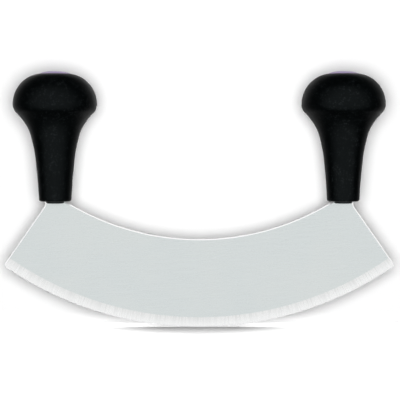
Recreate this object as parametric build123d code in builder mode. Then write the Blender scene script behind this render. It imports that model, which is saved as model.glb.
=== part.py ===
from build123d import *
from math import asin, cos, degrees, radians, sin, sqrt
import os

os.makedirs("parts", exist_ok=True)

# Two-handled mincing knife, standing on its cutting edge as it is used.
# X runs along the blade, Y through its thickness with the front face towards -Y, Z up.
# The origin is the lowest point of the cutting edge, in the middle of the blade.

# Blade: a sector of a flat ring, with its cutting arc below and its back arc above
edge_radius = 202.0
blade_height = 52.0
tip_span = 231.4
tip_round = 1.8
stock_thickness = 2.0
flank_grind = 0.1
grind_width = 5.9
hone_width = 0.7
hone_thickness = 0.8
edge_land = 0.2
eased_width = 0.9
eased_depth = 0.4

# Necks and tangs: the blade's own steel, rising into each handle
neck_inner_reach = 6.3
neck_outer_reach = 5.9
neck_rise = 2.4
neck_blend = 5.0
tang_width = 7.0
peen_spread = 0.9
peen_height = 1.4
peen_lean = 25.0

# Handles: knob and barrel in one turned shape
handle_height = 75.25
foot_radius = 9.5
foot_round = 1.3
knob_radius = 24.75
equator_height = 57.1
lip_radius = 6.8
flare_angle = 45.0
foot_lean = 3.0
crown_flat_radius = 7.2
recess_radius = 7.2
recess_depth = 15.0

# Bush: plastic sleeve that closes the barrel's foot round the tang
bush_radius = 5.55
bush_depth = 12.0
bush_proud = 1.2
bush_round = 1.0

# Washer under the peened end of the tang
washer_radius = 6.5
washer_thickness = 1.6

# End cap: low dome pushed into the knob's crown
cap_radius = 9.5
cap_rim = 1.3
cap_rise = 1.3
plug_length = 5.0
plug_wall = 1.2
gate_radius = 0.6
gate_height = 0.3

# Clearances and the overrun that every cut shares
tang_clearance = 0.15
fit_gap = 0.1
flank_margin = 0.5
overrun = 5.0

# Middle stretch of the barrel's outline, between its foot and the knob's lip:
# share of the height risen, share of the radius gained
barrel_shares = ((0.346, 0.099), (0.618, 0.2415), (0.855, 0.551))

back_radius = edge_radius - blade_height
side_angle = degrees(asin(tip_span / 2 / edge_radius))
tip_x = tip_span / 2
tip_z = edge_radius * (1 - cos(radians(side_angle)))
half_stock = stock_thickness / 2
half_flank = half_stock - flank_grind

# The neck stands where the back arc ends: its inner corner lies on that arc,
# and its outer edge meets the side edge neck_rise below the foot of the handle
neck_width = neck_inner_reach + neck_outer_reach
neck_setback = neck_width * cos(radians(side_angle)) - neck_rise * sin(radians(side_angle))
back_angle = side_angle - degrees(asin(neck_setback / back_radius))
neck_inner_x = back_radius * sin(radians(back_angle))
neck_outer_x = neck_inner_x + neck_width
axis_x = neck_inner_x + neck_inner_reach
foot_z = edge_radius - back_radius * cos(radians(back_angle))
bend_z = foot_z - neck_rise
flank_top = foot_z - bush_proud - flank_margin
crown_z = foot_z + handle_height
recess_floor = crown_z - recess_depth
washer_top = recess_floor + washer_thickness
slot_width = tang_width + 2 * tang_clearance
slot_gap = stock_thickness + 2 * tang_clearance

# Outline of a handle, as radius and height above its foot
lip_centre = (knob_radius - lip_radius, equator_height)
flare_radius = knob_radius - lip_radius * (1 - cos(radians(flare_angle)))
flare_height = equator_height - lip_radius * sin(radians(flare_angle))
dome_centre = (crown_flat_radius, equator_height)
crown_reach = knob_radius - crown_flat_radius
crown_rise = handle_height - equator_height
barrel_points = [(foot_radius, 0)]
for height_share, radius_share in barrel_shares:
    radius_gained = radius_share * (flare_radius - foot_radius)
    barrel_points.append((foot_radius + radius_gained, height_share * flare_height))
barrel_points.append((flare_radius, flare_height))
foot_direction = (sin(radians(foot_lean)), cos(radians(foot_lean)))
flare_direction = (sin(radians(flare_angle)), cos(radians(flare_angle)))

# Dome of the cap: its rim is flush with the crown round it
rim_share = (cap_radius - crown_flat_radius) / crown_reach
rim_drop = crown_rise * (1 - sqrt(1 - rim_share**2))
dome_rise = cap_rise + rim_drop
dome_radius = (cap_radius**2 + dome_rise**2) / (2 * dome_rise)
dome_angle = degrees(asin(cap_radius / dome_radius))
plug_radius = recess_radius - fit_gap
plug_inside = plug_radius - plug_wall

# Blade blank: the right half of the outline is drawn and mirrored
with BuildPart() as blade:
    with BuildSketch(Plane.XZ) as blank:
        with BuildLine():
            cutting_arc = CenterArc((0, edge_radius), edge_radius, -90, side_angle)
            Polyline(
                cutting_arc @ 1,
                (neck_outer_x, bend_z),
                (neck_outer_x, foot_z),
                (neck_inner_x, foot_z),
            )
            CenterArc((0, edge_radius), back_radius, -90, back_angle)
            Line((0, 0), (0, blade_height))
        make_face()
        fillet(blank.vertices().sort_by_distance((tip_x, tip_z))[0], tip_round)
        fillet(blank.vertices().sort_by_distance((neck_outer_x, bend_z))[0], neck_blend)
        mirror(about=Plane.YZ)
    extrude(amount=half_stock, both=True)
    # Eased edges round the outline, front and rear, but for the shoulders under the handles
    front_face = blade.faces().sort_by(Axis.Y)[0]
    front_edges = front_face.edges().filter_by(Axis.X, reverse=True)
    chamfer(front_edges, eased_width, eased_depth, reference=front_face)
    rear_face = blade.faces().sort_by(Axis.Y)[-1]
    rear_edges = rear_face.edges().filter_by(Axis.X, reverse=True)
    chamfer(rear_edges, eased_width, eased_depth, reference=rear_face)
    # Both flanks are ground back from the stock, up to just below the handles
    for face_side in (-1, 1):
        with BuildSketch(Plane.XZ.offset(face_side * half_flank)):
            with Locations((0, flank_top / 2)):
                Rectangle(tip_span + overrun, flank_top)
        extrude(amount=face_side * overrun, mode=Mode.SUBTRACT)
    # Ground band along the cutting edge and the narrow honed one at its foot:
    # cones about the axis of the arcs
    with BuildSketch(Plane.YZ):
        with BuildLine():
            Polyline(
                (edge_land / 2, -overrun),
                (edge_land / 2, 0),
                (hone_thickness / 2, hone_width),
                (half_flank, grind_width),
                (half_flank + overrun, grind_width),
                (half_flank + overrun, -overrun),
                close=True,
            )
        make_face()
        mirror(about=Plane.XZ)
    revolve(axis=Axis((0, 0, edge_radius), (0, 1, 0)), mode=Mode.SUBTRACT)
    # Tangs, each with its end peened over the washer
    for side in (-1, 1):
        with BuildSketch(Plane.XY.offset(foot_z - eased_width)):
            with Locations((side * axis_x, 0)):
                Rectangle(tang_width, stock_thickness)
        extrude(amount=washer_top - foot_z + eased_width)
        with BuildSketch(Plane.XY.offset(washer_top)):
            with Locations((side * axis_x, 0)):
                RectangleRounded(
                    tang_width + 2 * peen_spread,
                    stock_thickness + 2 * peen_spread,
                    peen_spread,
                )
        extrude(amount=peen_height, taper=peen_lean)
blade.part.label = "blade"
export_step(blade.part, "parts/blade.step")

# One handle with its bush, washer and cap at each end of the blade
for side_name, side in (("left", -1), ("right", 1)):
    axis_line = Axis((side * axis_x, 0, 0), (0, 0, 1))
    handle_plane = Plane(origin=(side * axis_x, 0, foot_z), x_dir=(1, 0, 0), z_dir=(0, -1, 0))
    crown_plane = Plane.XY.offset(crown_z)
    foot_plane = Plane.XY.offset(foot_z)

    # Handle: the barrel flares out of its foot into a rounded lip and a domed knob
    with BuildPart() as handle:
        with BuildSketch(handle_plane):
            with BuildLine():
                Line((0, 0), (foot_radius, 0))
                Spline(barrel_points, tangents=(foot_direction, flare_direction))
                CenterArc(lip_centre, lip_radius, -flare_angle, flare_angle)
                EllipticalCenterArc(dome_centre, crown_reach, crown_rise, arc_size=90)
                Polyline((crown_flat_radius, handle_height), (0, handle_height), (0, 0))
            make_face()
        revolve(axis=axis_line)
        foot_edges = handle.faces().sort_by(Axis.Z)[0].edges()
        fillet(foot_edges, foot_round)
        # Seat for the bush in the foot
        with BuildSketch(foot_plane):
            with Locations((side * axis_x, 0)):
                Circle(bush_radius + fit_gap)
        extrude(amount=bush_depth, mode=Mode.SUBTRACT)
        # Slot for the tang
        with BuildSketch(foot_plane):
            with Locations((side * axis_x, 0)):
                Rectangle(slot_width, slot_gap)
        extrude(amount=handle_height, mode=Mode.SUBTRACT)
        # Recess in the crown for the washer and the peened end
        with BuildSketch(crown_plane):
            with Locations((side * axis_x, 0)):
                Circle(recess_radius)
        extrude(amount=-recess_depth, mode=Mode.SUBTRACT)
        # Seat for the cap's rim
        with BuildSketch(crown_plane):
            with Locations((side * axis_x, 0)):
                Circle(cap_radius + fit_gap)
        extrude(amount=-cap_rim, mode=Mode.SUBTRACT)
    handle.part.label = side_name + "_handle"
    export_step(handle.part, "parts/" + side_name + "_handle.step")

    # Bush: its lower lips stand proud of the barrel, before and behind the neck
    with BuildPart() as bush:
        with BuildSketch(Plane.XY.offset(foot_z - bush_proud)):
            with Locations((side * axis_x, 0)):
                Circle(bush_radius)
        extrude(amount=bush_proud + bush_depth)
        lower_edges = bush.faces().sort_by(Axis.Z)[0].edges()
        fillet(lower_edges, bush_round)
        with BuildSketch(Plane.XY.offset(foot_z - bush_proud)):
            with Locations((side * axis_x, 0)):
                Rectangle(2 * bush_radius + overrun, slot_gap)
        extrude(amount=bush_proud, mode=Mode.SUBTRACT)
        with BuildSketch(foot_plane):
            with Locations((side * axis_x, 0)):
                Rectangle(slot_width, slot_gap)
        extrude(amount=bush_depth, mode=Mode.SUBTRACT)
    bush.part.label = side_name + "_tang_bush"
    export_step(bush.part, "parts/" + side_name + "_tang_bush.step")

    # Washer: spreads the pull of the peened tang over the floor of the recess
    with BuildPart() as washer:
        with BuildSketch(Plane.XY.offset(recess_floor)):
            with Locations((side * axis_x, 0)):
                Circle(washer_radius)
                Rectangle(slot_width, slot_gap, mode=Mode.SUBTRACT)
        extrude(amount=washer_thickness)
    washer.part.label = side_name + "_rivet_washer"
    export_step(washer.part, "parts/" + side_name + "_rivet_washer.step")

    # Cap: domed head flush with the crown at its rim, hollow plug, moulding pip on top
    cap_plane = Plane(origin=(side * axis_x, 0, crown_z), x_dir=(1, 0, 0), z_dir=(0, -1, 0))
    with BuildPart() as cap:
        with BuildSketch(cap_plane):
            with BuildLine():
                Polyline(
                    (0, cap_rise),
                    (0, -cap_rim),
                    (plug_inside, -cap_rim),
                    (plug_inside, -cap_rim - plug_length),
                    (plug_radius, -cap_rim - plug_length),
                    (plug_radius, -cap_rim),
                    (cap_radius, -cap_rim),
                    (cap_radius, -rim_drop),
                )
                CenterArc((0, cap_rise - dome_radius), dome_radius, 90 - dome_angle, dome_angle)
            make_face()
        revolve(axis=axis_line)
        with BuildSketch(Plane.XY.offset(crown_z + cap_rise - gate_height)):
            with Locations((side * axis_x, 0)):
                Circle(gate_radius)
        extrude(amount=2 * gate_height)
    cap.part.label = side_name + "_end_cap"
    export_step(cap.part, "parts/" + side_name + "_end_cap.step")
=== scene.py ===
from math import asin, cos, pi, radians, sin, sqrt, tan

import bpy
from bpy.props import FloatProperty, FloatVectorProperty, IntProperty, PointerProperty
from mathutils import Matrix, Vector
from mathutils.geometry import interpolate_bezier


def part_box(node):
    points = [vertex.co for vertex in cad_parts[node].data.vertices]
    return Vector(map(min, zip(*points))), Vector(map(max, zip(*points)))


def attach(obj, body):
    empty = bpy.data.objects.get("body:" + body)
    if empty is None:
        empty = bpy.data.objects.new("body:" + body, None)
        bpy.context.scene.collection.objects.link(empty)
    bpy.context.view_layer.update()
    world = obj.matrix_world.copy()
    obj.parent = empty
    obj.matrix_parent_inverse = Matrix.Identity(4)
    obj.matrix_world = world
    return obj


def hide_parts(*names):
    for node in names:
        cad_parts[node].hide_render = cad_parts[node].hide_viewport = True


bl_info = {
    "name": "Rocking Knife Finish",
    "version": (1, 0, 0),
    "blender": (4, 5, 0),
    "location": "View3D > Sidebar > Knife",
    "description": "Finishes a two-handled mincing knife: ground blade, knob handles, end caps and studio",
    "category": "Object",
}

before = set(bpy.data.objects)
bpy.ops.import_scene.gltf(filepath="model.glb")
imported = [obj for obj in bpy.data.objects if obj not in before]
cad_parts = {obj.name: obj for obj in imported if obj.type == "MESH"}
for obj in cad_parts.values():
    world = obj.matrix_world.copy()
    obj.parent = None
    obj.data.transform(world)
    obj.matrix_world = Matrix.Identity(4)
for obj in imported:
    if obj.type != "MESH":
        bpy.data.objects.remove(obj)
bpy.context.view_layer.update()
SIDES = ("left", "right")


def node_box(name):
    """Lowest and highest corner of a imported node, in metres."""
    low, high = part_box(name)
    return Vector(low), Vector(high)


HANDLE_LOW, HANDLE_HIGH = node_box("left_handle")
CAP_LOW, CAP_HIGH = node_box("left_end_cap")

# Height at which the blade's necks go into the handles
NECK_TOP = HANDLE_LOW.z

WHITE = (1.0, 1.0, 1.0, 1.0)

# Faintly blue reflections of the black plastics
COOL_SHEEN = (0.84, 0.97, 1.0, 1.0)


def length(name, description, default):
    """A size in metres, as a property."""
    return FloatProperty(name=name, description=description, default=default, unit="LENGTH", precision=5)


def angle(name, description, degrees):
    """An angle, written in degrees, as a property."""
    return FloatProperty(name=name, description=description, default=radians(degrees), subtype="ANGLE")


def amount(name, description, default):
    """A share or strength without a unit, as a property."""
    return FloatProperty(name=name, description=description, default=default, precision=3)


def colour(name, description, default):
    """A linear colour, as a property."""
    return FloatVectorProperty(name=name, description=description, default=default, size=4, subtype="COLOR")


class BladeSettings(bpy.types.PropertyGroup):
    """Sizes and tones of the ground steel blade."""

    edge_radius: length("Edge radius", "Radius of the cutting arc", 0.202)
    grind_width: length("Grind width", "Width of the ground band along the cutting edge", 0.0059)
    hone_width: length("Hone width", "Width of the honed strip at the foot of the ground band", 0.0007)
    band_waver: length("Band waver", "How far the upper line of the ground band wanders", 0.00004)
    band_softness: length("Band softness", "How softly the upper line of the ground band fades", 0.00016)
    grain_length: length("Grain length", "Length of the polishing grain along the flank", 0.018)
    grain_pitch: length("Grain pitch", "Height of one line of the polishing grain", 0.0005)
    cloud_size: length("Cloud size", "Size of the faint clouds on the flank", 0.045)
    cut_length: length("Cut length", "Length of a grinding mark across the ground band", 0.012)
    cut_pitch: length("Cut pitch", "Spacing of the grinding marks along the band", 0.00085)
    fine_cut_pitch: length("Fine cut pitch", "Spacing of the finest grinding marks", 0.00035)
    coarse_share: amount("Coarse share", "Share of the coarse marks among the grinding marks", 0.45)
    pass_length: length("Pass length", "Length of the stretches with fainter and stronger marks", 0.009)
    pass_height: length("Pass height", "Height of the stretches with fainter and stronger marks", 0.036)
    mark_depth: length("Mark depth", "Depth of the grain and the grinding marks", 0.00001)
    dull_start: length("Dull start", "How far under a handle the eased edges begin to be dull", 0.0025)
    dull_full: length("Dull full", "How far under a handle the eased edges are fully dull", 0.0012)
    steel: colour("Steel", "Polished flank", (0.69, 0.735, 0.735, 1.0))
    ground: colour("Ground steel", "Freshly ground band", (0.837, 0.846, 0.842, 1.0))
    bright: colour("Bright edge", "Eased edges and the honed strip", (0.98, 0.985, 0.985, 1.0))


class WasherSettings(bpy.types.PropertyGroup):
    """Finish of the steel washers under the peened tangs."""

    grain_length: length("Grain length", "Length of the rolling grain", 0.006)
    grain_pitch: length("Grain pitch", "Width of one line of the rolling grain", 0.0003)
    grain_depth: length("Grain depth", "Depth of the rolling grain", 0.00001)
    dark: colour("Dark steel", "Troughs of the rolling grain", (0.5, 0.5, 0.5, 1.0))
    light: colour("Light steel", "Tops of the rolling grain", (0.62, 0.62, 0.61, 1.0))


class HandleSettings(bpy.types.PropertyGroup):
    """Outline and finish of the turned knob handles."""

    knob_radius: length("Knob radius", "Widest radius of the knob", (HANDLE_HIGH.y - HANDLE_LOW.y) / 2)
    foot_radius: length("Foot radius", "Radius of the barrel at its foot", 0.0095)
    foot_round: length("Foot round", "Rounding of the barrel's lower edge", 0.0013)
    foot_lean: angle("Foot lean", "Lean of the barrel at its foot", 3)
    equator_height: length("Equator height", "Height of the widest ring above the foot", 0.0571)
    handle_height: length("Height", "Height of the handle above its foot", 0.07525)
    lip_radius: length("Lip radius", "Rounding under the knob's widest ring", 0.0068)
    flare_angle: angle("Flare angle", "Lean of the barrel where it meets the lip", 45)
    crown_flat_radius: length("Crown flat", "Radius of the flat in the crown", 0.0072)
    seat_round: length("Seat round", "Rounding of the crown round the cap", 0.00025)
    bush_seat_radius: length("Bush seat", "Radius of the seat for the bush", 0.00565)
    bush_seat_depth: length("Bush seat depth", "Depth of the seat for the bush", 0.012)
    tang_bore_radius: length("Tang bore", "Radius of the way for the tang", 0.0039)
    recess_radius: length("Recess radius", "Radius of the recess for the washer", 0.0072)
    recess_depth: length("Recess depth", "Depth of the recess below the crown", 0.015)
    cap_seat_radius: length("Cap seat", "Radius of the seat for the cap's rim", 0.0096)
    cap_seat_depth: length("Cap seat depth", "Depth of the seat for the cap's rim", 0.0013)
    segments: IntProperty(name="Segments", description="Faces round a turned piece", default=144)
    plastic: colour("Plastic", "Moulded handle", (0.0003, 0.0006, 0.0007, 1.0))
    worn_plastic: colour("Worn plastic", "Where hands have rubbed the grain", (0.009, 0.0108, 0.0114, 1.0))
    grain_size: length("Grain size", "Size of one grain of the moulded texture", 0.0012)
    grain_depth: length("Grain depth", "Depth of the moulded texture", 0.00007)
    roughness: amount("Roughness", "Roughness of the moulded handle", 0.4)
    shine: amount("Shine", "Strength of the handle's reflections", 0.11)


class BushSettings(bpy.types.PropertyGroup):
    """Finish of the bushes that close the handles round the tangs."""

    plastic: colour("Bush plastic", "Smoother plastic of the bush", (0.006, 0.0068, 0.0072, 1.0))
    grain_size: length("Grain size", "Size of one grain of the moulded texture", 0.0003)
    grain_depth: length("Grain depth", "Depth of the moulded texture", 0.00001)
    roughness: amount("Roughness", "Roughness of the bush", 0.42)
    shine: amount("Shine", "Strength of the bush's reflections", 0.3)


class CapSettings(bpy.types.PropertyGroup):
    """Outline and finish of the domed end caps pushed into the crowns."""

    cap_rim: length("Rim", "Height of the rim that sits in the crown", 0.0013)
    cap_rise: length("Rise", "Height of the dome above the crown", 0.0013)
    dome_power: amount("Dome power", "How flat the dome is: 2 is round, more is flatter in the middle", 3.2)
    rim_round: length("Rim round", "Rounding of the cap's outer edge", 0.0002)
    plug_length: length("Plug length", "Length of the plug below the rim", 0.005)
    plug_wall: length("Plug wall", "Wall of the hollow plug", 0.0012)
    plug_gap: length("Plug gap", "Clearance round the plug", 0.0001)
    gate_radius: length("Gate radius", "Radius of the moulding pip", 0.0006)
    gate_height: length("Gate height", "Height of the moulding pip", 0.00015)
    plastic: colour("Cap plastic", "Violet grey plastic", (0.32, 0.25, 0.42, 1.0))
    sheen: colour("Cap sheen", "Tint of the cap's reflections", (0.95, 0.88, 1.0, 1.0))
    grain_size: length("Grain size", "Size of one grain of the moulded texture", 0.0003)
    grain_depth: length("Grain depth", "Depth of the moulded texture", 0.000006)
    roughness: amount("Roughness", "Roughness of the cap", 0.34)
    shine: amount("Shine", "Strength of the cap's reflections", 0.4)


class StudioSettings(bpy.types.PropertyGroup):
    """Camera, lamps, floor and backdrop."""

    camera_distance: length("Camera distance", "From the camera to the blade", 0.85)
    camera_rise: angle("Camera rise", "Angle of the camera above the level", 2)
    aim: FloatVectorProperty(name="Aim", description="Point in the middle of the picture",
                             default=(0.00046, 0.0, 0.07511), subtype="TRANSLATION")
    picture_width: length("Picture width", "Width of the picture at the blade", 0.2362)
    sensor_width: amount("Sensor width", "Width of the camera's sensor in millimetres", 36.0)
    backdrop_gap: length("Backdrop gap", "Clearance between the knobs and the backdrop", 0.0007)
    backdrop_width: length("Backdrop width", "Width of the backdrop", 0.7)
    backdrop_height: length("Backdrop height", "Height of the backdrop", 0.4)
    sweep_radius: length("Sweep radius", "Rounding of the paper between floor and backdrop", 0.006)
    floor_size: length("Floor size", "Length of the floor's sides", 6.0)
    lamp_distance: length("Lamp distance", "From each lamp to the blade", 0.8)
    key_size: length("Key size", "Diameter of the key lamp", 0.46)
    key_power: amount("Key power", "Power of the key lamp in watts", 7.55)
    top_size: length("Top size", "Diameter of the top lamp", 0.62)
    top_power: amount("Top power", "Power of the top lamp in watts", 5.9)
    top_rise: angle("Top rise", "Angle of the top lamp above the level, behind the knife", 70)
    sky_level: amount("Sky level", "Strength of the soft light from all round", 0.06)
    paper: colour("Paper", "Floor and backdrop", (0.95, 0.95, 0.95, 1.0))
    fibre_scale: amount("Fibre scale", "Fibres of the paper in a metre", 900.0)
    # Floor and backdrop get a painted white glow as seen. It stays at its glow level up to near and rises to
    # full white at far. Real shadows show near the knife and are painted over farther off.
    floor_near: length("Floor near", "Up to where the floor catches shadows in full", 0.02)
    floor_far: length("Floor far", "From where the floor is plain white", 0.07)
    backdrop_near: length("Backdrop near", "Up to where the backdrop catches shadows in full", 0.2)
    backdrop_far: length("Backdrop far", "From where the backdrop is plain white", 0.4)
    floor_glow: amount("Floor glow", "Plain white added to the floor as seen", 0.14)
    backdrop_glow: amount("Backdrop glow", "Plain white added to the backdrop as seen", 0.02)


class KnifeSettings(bpy.types.PropertyGroup):
    """All settings of the knife."""

    blade: PointerProperty(type=BladeSettings)
    washer: PointerProperty(type=WasherSettings)
    handle: PointerProperty(type=HandleSettings)
    bush: PointerProperty(type=BushSettings)
    cap: PointerProperty(type=CapSettings)
    studio: PointerProperty(type=StudioSettings)


# Node helpers


def add_node(tree, kind, inputs=None, **settings):
    """Adds a node. Each input is a value to set or a socket to link."""
    item = tree.nodes.new(kind)
    for name, value in settings.items():
        setattr(item, name, value)
    for key, value in (inputs or {}).items():
        if isinstance(value, bpy.types.NodeSocket):
            tree.links.new(value, item.inputs[key])
        else:
            item.inputs[key].default_value = value
    return item


def maths(tree, operation, first, second=0.0, clamp=False):
    """A Math node's result."""
    item = add_node(tree, "ShaderNodeMath", {0: first, 1: second}, operation=operation, use_clamp=clamp)
    return item.outputs[0]


def vector_length(tree, vector):
    """Length of a vector."""
    return add_node(tree, "ShaderNodeVectorMath", {0: vector}, operation="LENGTH").outputs["Value"]


def fade(tree, value, start, end, low=0.0, high=1.0):
    """Maps value smoothly from start..end to low..high."""
    inputs = {"Value": value, "From Min": start, "From Max": end, "To Min": low, "To Max": high}
    return add_node(tree, "ShaderNodeMapRange", inputs, interpolation_type="SMOOTHSTEP").outputs["Result"]


def between(tree, mask, low, high):
    """Runs smoothly from low to high where a mask runs from 0 to 1."""
    return fade(tree, mask, 0.0, 1.0, low, high)


def blend_value(tree, share, first, second):
    """Mixes two values by a share."""
    return add_node(tree, "ShaderNodeMix", {0: share, 2: first, 3: second}).outputs[0]


def blend_colour(tree, share, first, second):
    """Mixes two colours by a share."""
    item = tree.nodes.new("ShaderNodeMix")
    item.data_type = "RGBA"
    for key, value in (("Factor_Float", share), ("A_Color", first), ("B_Color", second)):
        socket = next(entry for entry in item.inputs if entry.identifier == key)
        if isinstance(value, bpy.types.NodeSocket):
            tree.links.new(value, socket)
        else:
            socket.default_value = value
    return next(entry for entry in item.outputs if entry.identifier == "Result_Color")


def toned(tone, factor):
    """A colour made darker or lighter."""
    return [channel * factor for channel in tone[:3]] + [1.0]


def scaled(tree, vector, pitch):
    """Divides a vector by a pattern's pitch on each axis. An axis whose pitch is 0 is left out."""
    factors = [1 / size if size else 0.0 for size in pitch]
    return add_node(tree, "ShaderNodeVectorMath", {0: vector, 1: factors}, operation="MULTIPLY").outputs[0]


def new_group(name, inputs, outputs):
    """A shader node group that puts out plain values. Returns its tree, what it is given and its results."""
    tree = bpy.data.node_groups.new(name, "ShaderNodeTree")
    for label, kind, value in inputs:
        socket = tree.interface.new_socket(label, in_out="INPUT", socket_type="NodeSocket" + kind)
        if value is not None:
            socket.default_value = value
    for label in outputs:
        tree.interface.new_socket(label, in_out="OUTPUT", socket_type="NodeSocketFloat")
    return tree, tree.nodes.new("NodeGroupInput").outputs, tree.nodes.new("NodeGroupOutput").inputs


def streak_group():
    """Fine parallel lines left by a grinding belt: noise drawn out along one axis of its vector."""
    found = bpy.data.node_groups.get("Belt Streaks")
    if found:
        return found
    tree, given, result = new_group(
        "Belt Streaks",
        (("Vector", "Vector", None), ("Detail", "Float", 3.0), ("Contrast", "Float", 1.0)),
        ("Streaks", "Height"))
    noise = add_node(tree, "ShaderNodeTexNoise", {
        "Vector": given["Vector"], "Scale": 1.0, "Detail": given["Detail"], "Roughness": 0.62})
    centred = maths(tree, "SUBTRACT", noise.outputs["Fac"], 0.5)
    stronger = maths(tree, "MULTIPLY", centred, given["Contrast"])
    tree.links.new(maths(tree, "ADD", stronger, 0.5, clamp=True), result["Streaks"])
    tree.links.new(noise.outputs["Fac"], result["Height"])
    return tree


# Pits in the length of one pebble of the moulded grain
PITS_PER_PEBBLE = 0.45

# Height of the moulded grain where a pebble's top begins and where it is in full
PEBBLE_TOP_RANGE = (0.25, 0.55)


def moulded_group():
    """Fine pebbled grain of a spark-eroded mould, as a height and a mask of its tops."""
    found = bpy.data.node_groups.get("Moulded Grain")
    if found:
        return found
    tree, given, result = new_group(
        "Moulded Grain", (("Vector", "Vector", None), ("Grain Size", "Float", 0.0004)), ("Height", "Tops"))
    scale = maths(tree, "DIVIDE", 1.0, given["Grain Size"])
    pebbles = add_node(tree, "ShaderNodeTexVoronoi", {"Vector": given["Vector"], "Scale": scale})
    pit_scale = maths(tree, "MULTIPLY", scale, PITS_PER_PEBBLE)
    pits = add_node(tree, "ShaderNodeTexNoise", {
        "Vector": given["Vector"], "Scale": pit_scale, "Detail": 4.0})
    domes = maths(tree, "SUBTRACT", 1.0, pebbles.outputs["Distance"])
    height = maths(tree, "MULTIPLY", domes, pits.outputs["Fac"])
    tree.links.new(height, result["Height"])
    tree.links.new(fade(tree, height, *PEBBLE_TOP_RANGE), result["Tops"])
    return tree


# Level of the noise where a handled patch begins and where it is in full
PATCH_RANGE = (0.35, 0.7)


def handling_group():
    """Soft uneven patches where a surface has been handled and wiped."""
    found = bpy.data.node_groups.get("Handling Marks")
    if found:
        return found
    tree, given, result = new_group(
        "Handling Marks", (("Vector", "Vector", None), ("Patch Size", "Float", 0.02)), ("Marks",))
    scale = maths(tree, "DIVIDE", 1.0, given["Patch Size"])
    wide = add_node(tree, "ShaderNodeTexNoise", {
        "Vector": given["Vector"], "Scale": scale, "Detail": 3.0, "Distortion": 0.6})
    tree.links.new(fade(tree, wide.outputs["Fac"], *PATCH_RANGE), result["Marks"])
    return tree


def use_group(tree, group, inputs):
    """Places a node group in a material. Returns its outputs."""
    return add_node(tree, "ShaderNodeGroup", inputs, node_tree=group).outputs


def belt_streaks(tree, vector, pitch, detail, contrast):
    """Belt streaks with a pitch on each axis. Returns their mask and their height."""
    streaks = use_group(tree, streak_group(), {
        "Vector": scaled(tree, vector, pitch), "Detail": detail, "Contrast": contrast})
    return streaks["Streaks"], streaks["Height"]


def handled_patches(tree, place, size):
    """Mask of the patches where a surface has been handled."""
    return use_group(tree, handling_group(), {"Vector": place, "Patch Size": size})["Marks"]


def new_material(name):
    """A material with a Principled shader.

    Returns it with its tree, the shader's inputs and the object coordinates.
    """
    material = bpy.data.materials.new(name)
    material.use_nodes = True
    tree = material.node_tree
    tree.nodes.clear()
    shader = tree.nodes.new("ShaderNodeBsdfPrincipled")
    output = tree.nodes.new("ShaderNodeOutputMaterial")
    tree.links.new(shader.outputs["BSDF"], output.inputs["Surface"])
    place = tree.nodes.new("ShaderNodeTexCoord").outputs["Object"]
    return material, tree, shader.inputs, place


def add_bump(tree, finish, height, depth, strength):
    """Feeds a height through a Bump node into the shader."""
    bump = add_node(tree, "ShaderNodeBump", {"Height": height, "Distance": depth, "Strength": strength})
    tree.links.new(bump.outputs["Normal"], finish["Normal"])


# Steel

# Level of the mixed streaks where a grinding mark begins and where it is in full
CUT_RANGE = (0.1, 0.72)

# What is left of the grinding marks in their faintest stretch
FAINT_SHARE = 0.78

# How squarely a face looks to the front or the rear where an eased edge begins and where it is in full
EASED_RANGE = (0.985, 0.95)

# How far a face looks up where an eased edge begins to mirror the foot of a handle, and where it does in full
LOOKS_UP_RANGE = (0.27, 0.31)

# Tone between the lines of the grain and between the grinding marks, against the steel's own
BETWEEN_GRAIN = 0.95
BETWEEN_CUTS = 0.88

# Tint and share of the clouds on the flank
WARM_TINT = (1.02, 1.0, 0.985)
CLOUD_SHARE = 0.5

# How much of the bright edge's tone the ground band has at its foot
FOOT_SHARE = 0.6

# Roughness, from the dark parts of a pattern to the light ones, and of the edges, from bright to dull
FLANK_ROUGH = (0.26, 0.32)
BAND_ROUGH = (0.34, 0.26)
EDGE_ROUGH = (0.14, 0.7)
WASHER_ROUGH = (0.45, 0.32)

# Height of the flank's grain against the height of the grinding marks
GRAIN_RELIEF = 0.25


def blade_place(tree, place, edge_radius):
    """Place on the blade as length along the cutting arc, depth, and distance from the arc's centre.

    Returns the three as one vector, the distance alone, and the height above the floor.
    """
    axes = add_node(tree, "ShaderNodeSeparateXYZ", {"Vector": place}).outputs
    drop = maths(tree, "SUBTRACT", edge_radius, axes["Z"])
    turn = maths(tree, "ARCTAN2", axes["X"], drop)
    along = maths(tree, "MULTIPLY", turn, edge_radius)
    across = add_node(tree, "ShaderNodeCombineXYZ", {"X": axes["X"], "Z": drop})
    radius = vector_length(tree, across.outputs["Vector"])
    polar = add_node(tree, "ShaderNodeCombineXYZ", {"X": along, "Y": axes["Y"], "Z": radius})
    return polar.outputs["Vector"], radius, axes["Z"]


def grinding_marks(tree, polar, sizes):
    """Marks across the ground band: coarse ones among fine ones, fainter in some stretches.

    Returns the marks, and the coarse ones before they are mixed.
    """
    coarse_pitch = (sizes.cut_pitch, 0, sizes.cut_length)
    fine_pitch = (sizes.fine_cut_pitch, 0, sizes.cut_length)
    pass_pitch = (sizes.pass_length, 0, sizes.pass_height)
    coarse, _ = belt_streaks(tree, polar, coarse_pitch, detail=2.0, contrast=3.6)
    fine, _ = belt_streaks(tree, polar, fine_pitch, detail=3.0, contrast=3.0)
    passes, _ = belt_streaks(tree, polar, pass_pitch, detail=2.0, contrast=3.0)
    mixed = maths(tree, "ADD", maths(tree, "MULTIPLY", coarse, sizes.coarse_share),
                  maths(tree, "MULTIPLY", fine, 1 - sizes.coarse_share))
    marks = fade(tree, mixed, *CUT_RANGE)
    return maths(tree, "MULTIPLY", marks, between(tree, passes, FAINT_SHARE, 1.0)), coarse


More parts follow.
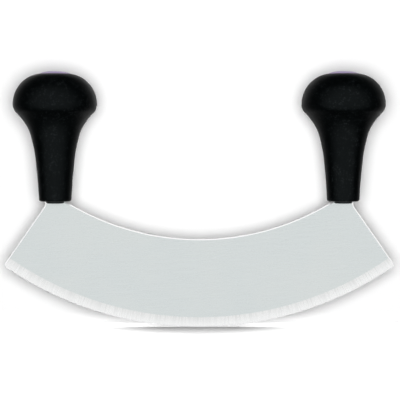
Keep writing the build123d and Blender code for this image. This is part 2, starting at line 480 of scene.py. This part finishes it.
def blade_steel(sizes):
    """Ground stainless steel: grain along the flank, marks across the ground band, bright eased edges."""
    material, tree, finish, place = new_material("Blade Steel")
    polar, radius, height = blade_place(tree, place, sizes.edge_radius)
    grain_pitch = (sizes.grain_length, 0, sizes.grain_pitch)
    grain, grain_height = belt_streaks(tree, place, grain_pitch, detail=5.0, contrast=4.0)
    clouds = handled_patches(tree, place, sizes.cloud_size)
    marks, coarse = grinding_marks(tree, polar, sizes)

    # The ground band and the honed strip lie by their distance from the centre of the cutting arc
    waver = maths(tree, "MULTIPLY", maths(tree, "SUBTRACT", coarse, 0.5), sizes.band_waver * 2)
    band_line = sizes.edge_radius - sizes.grind_width
    hone_line = sizes.edge_radius - sizes.hone_width
    softness = sizes.band_softness
    ground = fade(tree, maths(tree, "ADD", radius, waver), band_line - softness, band_line + softness * 3)
    honed = fade(tree, radius, hone_line - softness / 2, hone_line + softness / 2)

    # The eased edges lie where the surface turns away from the front and the rear
    surface = add_node(tree, "ShaderNodeNewGeometry").outputs["Normal"]
    tilts = add_node(tree, "ShaderNodeSeparateXYZ", {"Vector": surface}).outputs
    eased = fade(tree, maths(tree, "ABSOLUTE", tilts["Y"]), *EASED_RANGE)
    bright = maths(tree, "MAXIMUM", honed, eased)

    # Tone: level grain over faint clouds, then the ground band, brighter towards its foot, then the edges
    warm = [channel * tint for channel, tint in zip(sizes.steel, WARM_TINT)] + [1.0]
    flank_tone = blend_colour(tree, grain, toned(sizes.steel, BETWEEN_GRAIN), tuple(sizes.steel))
    flank_tone = blend_colour(tree, maths(tree, "MULTIPLY", clouds, CLOUD_SHARE), flank_tone, warm)
    band_tone = blend_colour(tree, marks, toned(sizes.ground, BETWEEN_CUTS), tuple(sizes.ground))
    towards_foot = fade(tree, radius, band_line, hone_line, 0.0, FOOT_SHARE)
    band_tone = blend_colour(tree, towards_foot, band_tone, tuple(sizes.bright))
    tone = blend_colour(tree, ground, flank_tone, band_tone)
    tree.links.new(blend_colour(tree, bright, tone, tuple(sizes.bright)), finish["Base Color"])

    # The eased edges are duller where they look up just under a handle and would only mirror its black foot
    under_foot = fade(tree, height, NECK_TOP - sizes.dull_start, NECK_TOP - sizes.dull_full)
    under_foot = maths(tree, "MULTIPLY", under_foot, fade(tree, tilts["Z"], *LOOKS_UP_RANGE))
    rough = blend_value(
        tree, ground, between(tree, grain, *FLANK_ROUGH), between(tree, marks, *BAND_ROUGH))
    rough = blend_value(tree, bright, rough, between(tree, under_foot, *EDGE_ROUGH))
    tree.links.new(rough, finish["Roughness"])
    finish["Metallic"].default_value = 1.0

    relief = blend_value(tree, ground, maths(tree, "MULTIPLY", grain_height, GRAIN_RELIEF), marks)
    add_bump(tree, finish, relief, sizes.mark_depth, strength=0.6)
    return material


def washer_steel(sizes):
    """Plain stamped stainless: short rolling grain across the washer."""
    material, tree, finish, place = new_material("Washer Steel")
    grain_pitch = (sizes.grain_length, sizes.grain_pitch, sizes.grain_length)
    grain, grain_height = belt_streaks(tree, place, grain_pitch, detail=3.0, contrast=1.6)
    tree.links.new(blend_colour(tree, grain, tuple(sizes.dark), tuple(sizes.light)), finish["Base Color"])
    tree.links.new(between(tree, grain, *WASHER_ROUGH), finish["Roughness"])
    finish["Metallic"].default_value = 1.0
    add_bump(tree, finish, grain_height, sizes.grain_depth, strength=0.5)
    return material


# Plastic

# Size of the patches that hands leave
PATCH_SIZE = 0.016

# Outside the patches: share of the worn tone and added roughness. Inside them: roughness taken off
UNRUBBED_SHARE = 0.5
UNRUBBED_ROUGHER = 0.05
RUBBED_SMOOTHER = 0.04

# Tone of a worn cap against its plain plastic
WORN_CAP = 1.15


def moulded_plastic(name, sizes, worn_tone, sheen):
    """Moulded plastic of a piece's settings: pebbled grain, slightly rubbed and wiped in patches."""
    material, tree, finish, place = new_material(name)
    grain = use_group(tree, moulded_group(), {"Vector": place, "Grain Size": sizes.grain_size})
    patches = handled_patches(tree, place, PATCH_SIZE)
    rubbed = maths(tree, "MULTIPLY", grain["Tops"], between(tree, patches, UNRUBBED_SHARE, 1.0))
    rough = between(tree, patches, sizes.roughness + UNRUBBED_ROUGHER, sizes.roughness - RUBBED_SMOOTHER)
    tree.links.new(blend_colour(tree, rubbed, tuple(sizes.plastic), worn_tone), finish["Base Color"])
    tree.links.new(rough, finish["Roughness"])
    finish["Specular IOR Level"].default_value = sizes.shine
    finish["Specular Tint"].default_value = sheen
    add_bump(tree, finish, grain["Height"], sizes.grain_depth, strength=0.8)
    return material


# Turned pieces

# Steps of the stretches of an outline
FOOT_STEPS = 8
BARREL_STEPS = 12
LIP_STEPS = 14
DOME_STEPS = 32
ROUND_STEPS = 4
CAP_STEPS = 24

# Middle stretch of the barrel: share of the height risen, share of the radius gained
BARREL_SHARES = ((0.346, 0.099), (0.618, 0.2415), (0.855, 0.551))

# Shape of the moulding pip: share of its radius, share of its height
PIP_SHARES = ((0.9, 0.7), (0.6, 1.0), (0.0, 1.0))

# Bends past this angle stay sharp, and points this close are joined
CREASE_ANGLE = radians(32)
WELD_DISTANCE = 0.000001


def arc_points(centre, radius, start, end, count):
    """Points on an arc in the outline's plane, from one angle to another, both ends included."""
    turns = [start + (end - start) * step / count for step in range(count + 1)]
    return [(centre[0] + radius * cos(turn), centre[1] + radius * sin(turn)) for turn in turns]


def flowing_points(points, first_slope, last_slope, count):
    """A smooth line through points, with the given slopes of radius over height at its ends.

    The slopes between come from the parabola through each point and its two neighbours.
    """
    slopes = [first_slope]
    for before, here, after in zip(points, points[1:], points[2:]):
        rise_before, rise_after = here[1] - before[1], after[1] - here[1]
        lean_before = (here[0] - before[0]) / rise_before
        lean_after = (after[0] - here[0]) / rise_after
        slopes.append((lean_before * rise_after + lean_after * rise_before) / (rise_before + rise_after))
    slopes.append(last_slope)
    line = []
    for start, end, slope_in, slope_out in zip(points, points[1:], slopes, slopes[1:]):
        third = (end[1] - start[1]) / 3
        pull_in = (start[0] + slope_in * third, start[1] + third)
        pull_out = (end[0] - slope_out * third, end[1] - third)
        knots = [Vector((x, y, 0.0)) for x, y in (start, pull_in, pull_out, end)]
        line += [(knot.x, knot.y) for knot in interpolate_bezier(*knots, count)[1:]]
    return line


def crown_ellipse(handle):
    """Reach and rise of the quarter ellipse that domes the knob, from its widest ring to the crown."""
    return handle.knob_radius - handle.crown_flat_radius, handle.handle_height - handle.equator_height


def handle_outline(sizes):
    """Closed outline of a handle as radius and height above its foot, foot first, outside upwards."""
    foot_reach = sizes.foot_round * tan(sizes.foot_lean) - sizes.foot_round / cos(sizes.foot_lean)
    foot_centre = (sizes.foot_radius + foot_reach, sizes.foot_round)
    outline = [(sizes.bush_seat_radius, 0.0)]
    outline += arc_points(foot_centre, sizes.foot_round, -pi / 2, -sizes.foot_lean, FOOT_STEPS)

    # Barrel and lip, up to the widest ring
    lip_centre = (sizes.knob_radius - sizes.lip_radius, sizes.equator_height)
    lip = arc_points(lip_centre, sizes.lip_radius, -sizes.flare_angle, 0.0, LIP_STEPS)
    flare_radius, flare_height = lip[0]
    gained = flare_radius - sizes.foot_radius
    barrel = [outline[-1]]
    for height_share, radius_share in BARREL_SHARES:
        barrel.append((sizes.foot_radius + radius_share * gained, height_share * flare_height))
    barrel.append(lip[0])
    outline += flowing_points(barrel, tan(sizes.foot_lean), tan(sizes.flare_angle), BARREL_STEPS)
    outline += lip[1:]

    # Dome, up to the seat of the cap
    reach, rise = crown_ellipse(sizes)
    seat_share = (sizes.cap_seat_radius + sizes.seat_round - sizes.crown_flat_radius) / reach
    last_turn = pi / 2 - asin(seat_share)
    for step in range(1, DOME_STEPS + 1):
        turn = last_turn * step / DOME_STEPS
        outline.append((sizes.crown_flat_radius + reach * cos(turn), sizes.equator_height + rise * sin(turn)))
    round_centre = (sizes.cap_seat_radius + sizes.seat_round, outline[-1][1] - sizes.seat_round)
    outline += arc_points(round_centre, sizes.seat_round, pi / 2, pi, ROUND_STEPS)[1:]

    # Seat, recess and bore, back down to the foot
    seat_floor = sizes.handle_height - sizes.cap_seat_depth
    recess_floor = sizes.handle_height - sizes.recess_depth
    outline += [
        (sizes.cap_seat_radius, seat_floor),
        (sizes.recess_radius, seat_floor),
        (sizes.recess_radius, recess_floor),
        (sizes.tang_bore_radius, recess_floor),
        (sizes.tang_bore_radius, sizes.bush_seat_depth),
        (sizes.bush_seat_radius, sizes.bush_seat_depth),
        (sizes.bush_seat_radius, 0.0),
    ]
    return outline


def cap_outline(cap, handle):
    """Outline of a cap as radius and height above the crown, underside first."""
    reach, rise = crown_ellipse(handle)
    rim_radius = (CAP_HIGH.x - CAP_LOW.x) / 2
    rim_share = (rim_radius - handle.crown_flat_radius) / reach
    rim_drop = rise * (1 - sqrt(1 - rim_share**2))
    dome_foot = rim_radius - cap.rim_round
    plug_radius = handle.recess_radius - cap.plug_gap
    plug_inside = plug_radius - cap.plug_wall
    plug_foot = -cap.cap_rim - cap.plug_length
    outline = [
        (0.0, -cap.cap_rim),
        (plug_inside, -cap.cap_rim),
        (plug_inside, plug_foot),
        (plug_radius, plug_foot),
        (plug_radius, -cap.cap_rim),
        (rim_radius, -cap.cap_rim),
    ]
    outline += arc_points((dome_foot, -rim_drop - cap.rim_round), cap.rim_round, 0.0, pi / 2, ROUND_STEPS)
    for step in range(1, CAP_STEPS + 1):
        radius = dome_foot + (cap.gate_radius - dome_foot) * step / CAP_STEPS
        height = cap.cap_rise - (cap.cap_rise + rim_drop) * (radius / dome_foot)**cap.dome_power
        outline.append((radius, height))
    for radius_share, height_share in PIP_SHARES:
        outline.append((cap.gate_radius * radius_share, cap.cap_rise + cap.gate_height * height_share))
    return outline


def turning_tree():
    """Geometry nodes that turn an outline, a chain of points in the XZ plane, about the Z axis."""
    found = bpy.data.node_groups.get("Turned Piece")
    if found:
        return found
    tree = bpy.data.node_groups.new("Turned Piece", "GeometryNodeTree")
    for label, kind in (("Outline", "Geometry"), ("Segments", "Int"), ("Axis", "Vector"),
                        ("Crease Angle", "Float"), ("Weld", "Float"), ("Finish", "Material")):
        tree.interface.new_socket(label, in_out="INPUT", socket_type="NodeSocket" + kind)
    tree.interface.new_socket("Piece", in_out="OUTPUT", socket_type="NodeSocketGeometry")
    given = tree.nodes.new("NodeGroupInput").outputs

    # A grid with a column for each step round the axis and a row for each point of the outline
    rings = add_node(
        tree, "GeometryNodeAttributeDomainSize", {"Geometry": given["Outline"]}, component="MESH")
    count = rings.outputs["Point Count"]
    columns = maths(tree, "ADD", given["Segments"], 1.0)
    sheet = add_node(tree, "GeometryNodeMeshGrid", {"Vertices X": columns, "Vertices Y": count})
    index = tree.nodes.new("GeometryNodeInputIndex").outputs["Index"]
    ring = maths(tree, "FLOORED_MODULO", index, count)
    column = maths(tree, "FLOOR", maths(tree, "DIVIDE", maths(tree, "ADD", index, 0.5), count))

    # Each point of the grid goes to its point of the outline, turned about the axis
    here = tree.nodes.new("GeometryNodeInputPosition").outputs["Position"]
    sampled = add_node(
        tree, "GeometryNodeSampleIndex",
        {"Geometry": given["Outline"], "Index": ring}, data_type="FLOAT_VECTOR", domain="POINT")
    value = next(socket for socket in sampled.inputs if socket.name == "Value" and socket.enabled)
    tree.links.new(here, value)
    point = next(socket for socket in sampled.outputs if socket.enabled)
    turn = maths(tree, "MULTIPLY", maths(tree, "DIVIDE", column, given["Segments"]), 2 * pi)
    turned = add_node(
        tree, "ShaderNodeVectorRotate", {"Vector": point, "Angle": turn}, rotation_type="Z_AXIS")
    placed = add_node(
        tree, "ShaderNodeVectorMath", {0: turned.outputs["Vector"], 1: given["Axis"]}, operation="ADD")
    moved = add_node(
        tree, "GeometryNodeSetPosition",
        {"Geometry": sheet.outputs["Mesh"], "Position": placed.outputs["Vector"]})

    # The seam and the poles are closed, and only the sharp bends stay creased
    welded = add_node(
        tree, "GeometryNodeMergeByDistance",
        {"Geometry": moved.outputs["Geometry"], "Distance": given["Weld"]})
    smooth = add_node(
        tree, "GeometryNodeSetShadeSmooth",
        {"Geometry": welded.outputs["Geometry"], "Shade Smooth": True}, domain="FACE")
    bend = tree.nodes.new("GeometryNodeInputMeshEdgeAngle").outputs["Unsigned Angle"]
    sharp = add_node(
        tree, "FunctionNodeCompare", {0: bend, 1: given["Crease Angle"]}, operation="GREATER_THAN")
    creased = add_node(
        tree, "GeometryNodeSetShadeSmooth",
        {"Geometry": smooth.outputs["Geometry"], "Selection": sharp.outputs["Result"], "Shade Smooth": False},
        domain="EDGE")
    real = add_node(tree, "GeometryNodeRealizeInstances", {"Geometry": creased.outputs["Geometry"]})
    finished = add_node(
        tree, "GeometryNodeSetMaterial", {"Geometry": real.outputs["Geometry"], "Material": given["Finish"]})
    output = tree.nodes.new("NodeGroupOutput")
    tree.links.new(finished.outputs["Geometry"], output.inputs["Piece"])
    return tree


def turn_piece(name, outline, axis, segments, finish):
    """Turns an outline about an upright axis through a point. Returns the piece as a plain mesh object."""
    mesh = bpy.data.meshes.new(name)
    chain = [(radius, 0.0, height) for radius, height in outline]
    mesh.from_pydata(chain, [(step, step + 1) for step in range(len(chain) - 1)], [])
    piece = bpy.data.objects.new(name, mesh)
    bpy.context.scene.collection.objects.link(piece)
    tree = turning_tree()
    modifier = piece.modifiers.new("Turning", "NODES")
    modifier.node_group = tree
    values = {"Segments": segments, "Axis": axis, "Crease Angle": CREASE_ANGLE, "Weld": WELD_DISTANCE,
              "Finish": finish}
    for entry in tree.interface.items_tree:
        if entry.item_type == "SOCKET" and entry.name in values:
            modifier[entry.identifier] = values[entry.name]
    graph = bpy.context.evaluated_depsgraph_get()
    solid = bpy.data.meshes.new_from_object(piece.evaluated_get(graph), depsgraph=graph)
    piece.modifiers.remove(modifier)
    piece.data = solid
    bpy.data.meshes.remove(mesh)
    solid.name = name
    return piece


def dress(piece, node):
    """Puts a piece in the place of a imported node."""
    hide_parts(node)
    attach(piece, "root")


def repaint(node, material):
    """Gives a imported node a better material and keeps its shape."""
    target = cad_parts[node]
    for entry in target.material_slots:
        entry.material = material


def axis_of(side):
    """Foot of a handle on its axis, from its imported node."""
    low, high = node_box(side + "_handle")
    return Vector(((low.x + high.x) / 2, 0.0, low.z))


# Studio

# Tone of the paper between its fibres
BETWEEN_FIBRES = 0.985

# Steps of the round of paper between floor and backdrop
SWEEP_STEPS = 24

# White walls that reflections see: the ray's direction where each begins and where it is in full
FRONT_WALL_RANGE = (-0.22, -0.66)
REAR_WALL_RANGE = (0.3, 0.8)
REAR_WALL_TOP_RANGE = (0.75, 0.45)

# Strength of the rear wall against the front one
REAR_WALL_LEVEL = 0.58


def mirrored_rays(tree):
    """1 for rays that leave a mirror or pass through glass, and 0 for the rest."""
    path = tree.nodes.new("ShaderNodeLightPath").outputs
    return maths(tree, "MAXIMUM", path["Is Glossy Ray"], path["Is Transmission Ray"])


def seen_rays(tree, mirror_level):
    """1 for rays from the camera, and mirror_level for the reflections and refractions that it sees.

    Mirrored light on its way to a matt surface has no part in it.
    """
    path = tree.nodes.new("ShaderNodeLightPath").outputs
    before_matt = maths(tree, "LESS_THAN", path["Diffuse Depth"], 0.5)
    mirrored = maths(tree, "MULTIPLY", mirrored_rays(tree), before_matt)
    return maths(tree, "MAXIMUM", path["Is Camera Ray"], maths(tree, "MULTIPLY", mirrored, mirror_level))


def paper_material(name, studio, glow, near, far, see_through):
    """White paper with a painted white glow, weak near the knife where its shadows show, full far off where
    it paints them over; may be clear from behind.
    """
    material = bpy.data.materials.new(name)
    material.use_nodes = True
    tree = material.node_tree
    tree.nodes.clear()
    place = tree.nodes.new("ShaderNodeTexCoord").outputs["Object"]
    fibres = add_node(tree, "ShaderNodeTexNoise", {
        "Vector": place, "Scale": studio.fibre_scale, "Detail": 2.0})
    tone = blend_colour(
        tree, fibres.outputs["Fac"], toned(studio.paper, BETWEEN_FIBRES), tuple(studio.paper))
    matt = add_node(tree, "ShaderNodeBsdfDiffuse", {"Color": tone})
    # Painted glow: low near the knife so its real shadows show there, full white far off where it paints over
    # shadows
    level = fade(tree, vector_length(tree, place), near, far, glow, 1.0)
    strength = maths(tree, "MULTIPLY", seen_rays(tree, mirror_level=1.0), level)
    plain = add_node(tree, "ShaderNodeEmission", {"Color": WHITE, "Strength": strength})
    surface = add_node(tree, "ShaderNodeAddShader", {0: matt.outputs["BSDF"], 1: plain.outputs["Emission"]})
    if see_through:
        clear = tree.nodes.new("ShaderNodeBsdfTransparent")
        behind = tree.nodes.new("ShaderNodeNewGeometry").outputs["Backfacing"]
        surface = add_node(tree, "ShaderNodeMixShader", {
            0: behind, 1: surface.outputs["Shader"], 2: clear.outputs["BSDF"]})
    output = tree.nodes.new("ShaderNodeOutputMaterial")
    tree.links.new(surface.outputs["Shader"], output.inputs["Surface"])
    return material


def paper_sheet(name, corners, faces, paper):
    """A sheet of paper on the stage. Lamps shine through it, and reflections and soft light leave it out."""
    mesh = bpy.data.meshes.new(name)
    mesh.from_pydata(corners, [], faces)
    mesh.shade_smooth()
    mesh.materials.append(paper)
    sheet = bpy.data.objects.new(name, mesh)
    bpy.context.scene.collection.objects.link(sheet)
    sheet.visible_diffuse = False
    sheet.visible_glossy = False
    sheet.visible_transmission = False
    sheet.visible_shadow = False


def sweep_shape(half_width, wall, radius):
    """Corners and faces of the quarter round of paper from the floor up into the backdrop."""
    corners = []
    for step in range(SWEEP_STEPS + 1):
        turn = pi / 2 * step / SWEEP_STEPS
        depth = wall - radius * (1 - sin(turn))
        height = radius * (1 - cos(turn))
        corners += [(-half_width, depth, height), (half_width, depth, height)]
    faces = [(2 * step, 2 * step + 1, 2 * step + 3, 2 * step + 2) for step in range(SWEEP_STEPS)]
    return corners, faces


def lay_papers(studio):
    """Floor, backdrop, and the round of paper between them."""
    one_face = [(0, 1, 2, 3)]
    floor_paper = paper_material(
        "Floor Paper", studio, studio.floor_glow, studio.floor_near, studio.floor_far, see_through=False)
    reach = studio.floor_size / 2
    corners = [(-reach, -reach, 0.0), (reach, -reach, 0.0), (reach, reach, 0.0), (-reach, reach, 0.0)]
    paper_sheet("studio_floor", corners, one_face, floor_paper)

    wall_paper = paper_material(
        "Backdrop Paper", studio, studio.backdrop_glow, studio.backdrop_near, studio.backdrop_far,
        see_through=True)
    wall = HANDLE_HIGH.y + studio.backdrop_gap
    half_width = studio.backdrop_width / 2
    top = studio.backdrop_height
    corners = [
        (-half_width, wall, 0.0), (half_width, wall, 0.0), (half_width, wall, top), (-half_width, wall, top)]
    paper_sheet("studio_backdrop", corners, one_face, wall_paper)
    paper_sheet("studio_sweep", *sweep_shape(half_width, wall, studio.sweep_radius), wall_paper)


def soft_lamp(name, place, aim, size, power):
    """A round soft lamp that shines at a point and isn't seen itself, nor in reflections."""
    light = bpy.data.lights.new(name, "AREA")
    light.shape = "DISK"
    light.size = size
    light.energy = power
    lamp = bpy.data.objects.new(name, light)
    lamp.location = place
    lamp.rotation_euler = (aim - place).to_track_quat("-Z", "Y").to_euler()
    lamp.visible_camera = False
    lamp.visible_glossy = False
    bpy.context.scene.collection.objects.link(lamp)


def sky_strength(tree, soft_level):
    """Strength of the white sky.

    The camera sees it at 1. Reflections see it as white walls in front and behind, dark aside, overhead and
    underfoot. Matt surfaces get a little soft light from all of it.
    """
    way = tree.nodes.new("ShaderNodeTexCoord").outputs["Generated"]
    axes = add_node(tree, "ShaderNodeSeparateXYZ", {"Vector": way}).outputs
    front_wall = fade(tree, axes["Y"], *FRONT_WALL_RANGE)
    rear_wall = fade(tree, axes["Y"], *REAR_WALL_RANGE, 0.0, REAR_WALL_LEVEL)
    rear_wall = maths(tree, "MULTIPLY", rear_wall, fade(tree, axes["Z"], *REAR_WALL_TOP_RANGE))
    seen = seen_rays(tree, maths(tree, "MAXIMUM", front_wall, rear_wall))
    camera = tree.nodes.new("ShaderNodeLightPath").outputs["Is Camera Ray"]
    to_matt = maths(tree, "SUBTRACT", 1.0, maths(tree, "MAXIMUM", camera, mirrored_rays(tree)))
    return maths(tree, "ADD", seen, maths(tree, "MULTIPLY", to_matt, soft_level))


def hang_sky(scene, soft_level):
    """A white sky as the world of the scene."""
    world = bpy.data.worlds.new("Studio Sky")
    scene.world = world
    world.use_nodes = True
    tree = world.node_tree
    tree.nodes.clear()
    sky = add_node(tree, "ShaderNodeBackground", {"Color": WHITE, "Strength": sky_strength(tree, soft_level)})
    output = tree.nodes.new("ShaderNodeOutputWorld")
    tree.links.new(sky.outputs["Background"], output.inputs["Surface"])


def place_camera(scene, studio, aim, back):
    """A camera in front of the knife that sees the picture's width at the blade."""
    lens = bpy.data.cameras.new("Camera")
    lens.sensor_width = studio.sensor_width
    lens.lens = studio.sensor_width * studio.camera_distance / studio.picture_width
    camera = bpy.data.objects.new("Camera", lens)
    camera.location = aim + back * studio.camera_distance
    camera.rotation_euler = (-back).to_track_quat("-Z", "Y").to_euler()
    scene.collection.objects.link(camera)
    scene.camera = camera


# Operators


class KNIFE_OT_blade(bpy.types.Operator):
    """Finish the blade: ground steel with grain, ground band and bright edges"""

    bl_idname = "knife.blade"
    bl_label = "Finish Blade"

    def execute(self, context):
        repaint("blade", blade_steel(context.scene.knife.blade))
        return {"FINISHED"}


class KNIFE_OT_handles(bpy.types.Operator):
    """Turn the two knob handles and give them their moulded grain"""

    bl_idname = "knife.handles"
    bl_label = "Turn Handles"

    def execute(self, context):
        sizes = context.scene.knife.handle
        plastic = moulded_plastic("Handle Plastic", sizes, tuple(sizes.worn_plastic), COOL_SHEEN)
        outline = handle_outline(sizes)
        for side in SIDES:
            piece = turn_piece(side + "_knob_handle", outline, axis_of(side), sizes.segments, plastic)
            dress(piece, side + "_handle")
        return {"FINISHED"}


class KNIFE_OT_bushes(bpy.types.Operator):
    """Finish the bushes that close the handles round the tangs"""

    bl_idname = "knife.bushes"
    bl_label = "Finish Bushes"

    def execute(self, context):
        settings = context.scene.knife
        plastic = moulded_plastic(
            "Bush Plastic", settings.bush, tuple(settings.handle.worn_plastic), COOL_SHEEN)
        for side in SIDES:
            repaint(side + "_tang_bush", plastic)
        return {"FINISHED"}


class KNIFE_OT_washers(bpy.types.Operator):
    """Finish the washers under the peened tangs"""

    bl_idname = "knife.washers"
    bl_label = "Finish Washers"

    def execute(self, context):
        steel = washer_steel(context.scene.knife.washer)
        for side in SIDES:
            repaint(side + "_rivet_washer", steel)
        return {"FINISHED"}


class KNIFE_OT_caps(bpy.types.Operator):
    """Turn the domed end caps and seat them in the crowns"""

    bl_idname = "knife.caps"
    bl_label = "Turn Caps"

    def execute(self, context):
        cap = context.scene.knife.cap
        handle = context.scene.knife.handle
        plastic = moulded_plastic("Cap Plastic", cap, toned(cap.plastic, WORN_CAP), tuple(cap.sheen))
        outline = cap_outline(cap, handle)
        for side in SIDES:
            crown = axis_of(side) + Vector((0.0, 0.0, handle.handle_height))
            piece = turn_piece(side + "_crown_cap", outline, crown, handle.segments, plastic)
            dress(piece, side + "_end_cap")
        return {"FINISHED"}


class KNIFE_OT_studio(bpy.types.Operator):
    """Set up the floor, the backdrop, the lamps, the sky and the camera"""

    bl_idname = "knife.studio"
    bl_label = "Set Up Studio"

    def execute(self, context):
        studio = context.scene.knife.studio
        aim = Vector(studio.aim)
        back = Vector((0.0, -cos(studio.camera_rise), sin(studio.camera_rise)))
        above = Vector((0.0, cos(studio.top_rise), sin(studio.top_rise)))
        lay_papers(studio)
        soft_lamp("key_lamp", aim + back * studio.lamp_distance, aim, studio.key_size, studio.key_power)
        soft_lamp("top_lamp", aim + above * studio.lamp_distance, aim, studio.top_size, studio.top_power)
        hang_sky(context.scene, studio.sky_level)
        place_camera(context.scene, studio, aim, back)
        context.scene.view_settings.view_transform = "Standard"
        return {"FINISHED"}


OPERATORS = (
    KNIFE_OT_blade, KNIFE_OT_handles, KNIFE_OT_bushes, KNIFE_OT_washers, KNIFE_OT_caps, KNIFE_OT_studio)


class KNIFE_PT_finish(bpy.types.Panel):
    """The steps that finish the knife, in order"""

    bl_idname = "KNIFE_PT_finish"
    bl_label = "Rocking Knife"
    bl_space_type = "VIEW_3D"
    bl_region_type = "UI"
    bl_category = "Knife"

    def draw(self, context):
        for operator in OPERATORS:
            self.layout.operator(operator.bl_idname)


SETTINGS = (
    BladeSettings, WasherSettings, HandleSettings, BushSettings, CapSettings, StudioSettings, KnifeSettings)
CLASSES = SETTINGS + OPERATORS + (KNIFE_PT_finish,)


def register():
    for entry in CLASSES:
        bpy.utils.register_class(entry)
    bpy.types.Scene.knife = PointerProperty(type=KnifeSettings)


def unregister():
    del bpy.types.Scene.knife
    for entry in reversed(CLASSES):
        bpy.utils.unregister_class(entry)


def main():
    register()
    for operator in OPERATORS:
        group, name = operator.bl_idname.split(".")
        getattr(getattr(bpy.ops, group), name)()


if __name__ == "__main__":
    main()
